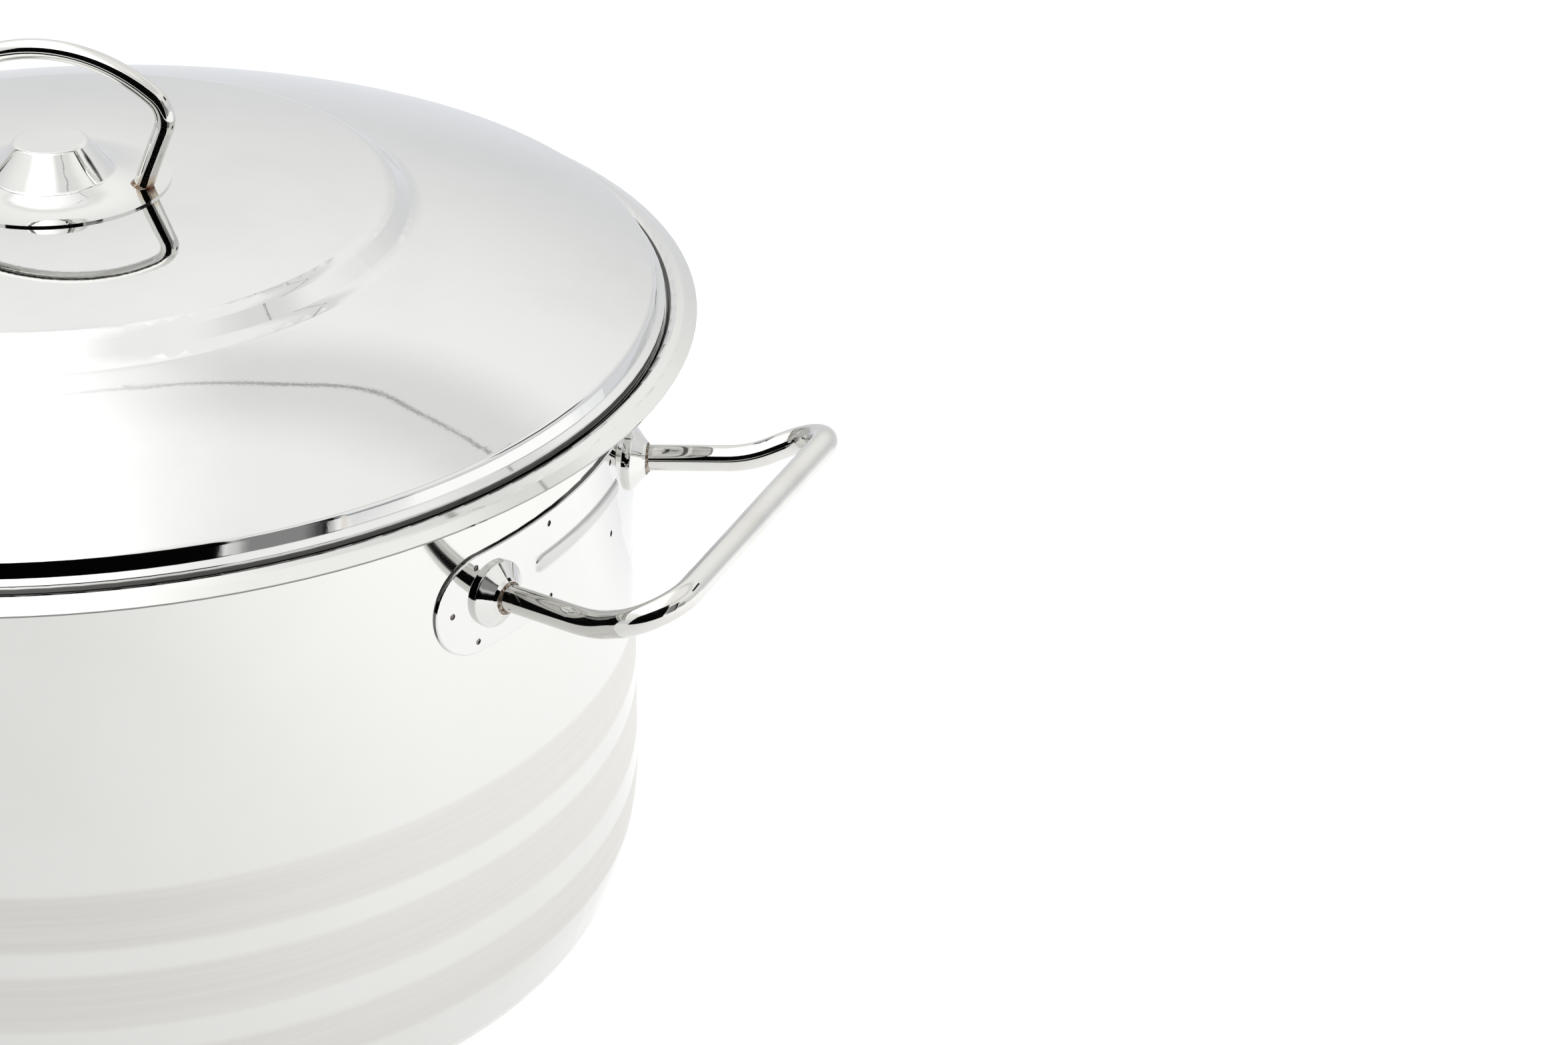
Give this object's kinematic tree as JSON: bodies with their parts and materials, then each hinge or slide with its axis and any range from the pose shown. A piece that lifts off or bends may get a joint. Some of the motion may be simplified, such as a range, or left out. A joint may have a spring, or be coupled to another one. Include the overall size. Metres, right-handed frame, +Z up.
{
  "type": "lidded stockpot",
  "caption": "Wide stainless steel stockpot with a flared rim, bent-rod side handles welded on wall plates, and a stepped lift-off lid with an arched rod handle.",
  "frame": {"origin": "middle of the pot's underside, on the surface it stands on", "axes": "+Z up along the pot's axis, +X towards the right side handle, +Y towards the back"},
  "size_m": [0.4608, 0.3808, 0.2819],
  "materials": {
    "satin_steel": "fine satin with three matt brushed bands low on the wall",
    "mirror_steel": "mirror-polished stainless steel",
    "rod_steel": "polished stainless steel rod",
    "weld_steel": "heat-tinted weld",
    "base_steel": "circular brushed steel",
    "aluminium_core": "plain sheet, enclosed"
  },
  "bodies": {
    "pot": {"pot_shell": "satin_steel", "base_core": "aluminium_core", "base_cap": "base_steel", "right_handle_plate": "mirror_steel", "right_spot_welds": "weld_steel", "right_front_boss": "mirror_steel", "right_rear_boss": "mirror_steel", "right_handle_rod": "rod_steel", "right_root_welds": "weld_steel", "left_handle_plate": "mirror_steel", "left_spot_welds": "weld_steel", "left_front_boss": "mirror_steel", "left_rear_boss": "mirror_steel", "left_handle_rod": "rod_steel", "left_root_welds": "weld_steel"},
    "lid": {"lid_shell": "mirror_steel", "knob_plate": "mirror_steel", "lid_bow": "rod_steel", "lid_bow_welds": "weld_steel"}
  },
  "joints": [
    {"name": "lid_lift", "type": "slide", "parent": "pot", "child": "lid", "axis": [0, 0, 1], "range_m": [0, 0.25]}
  ]
}
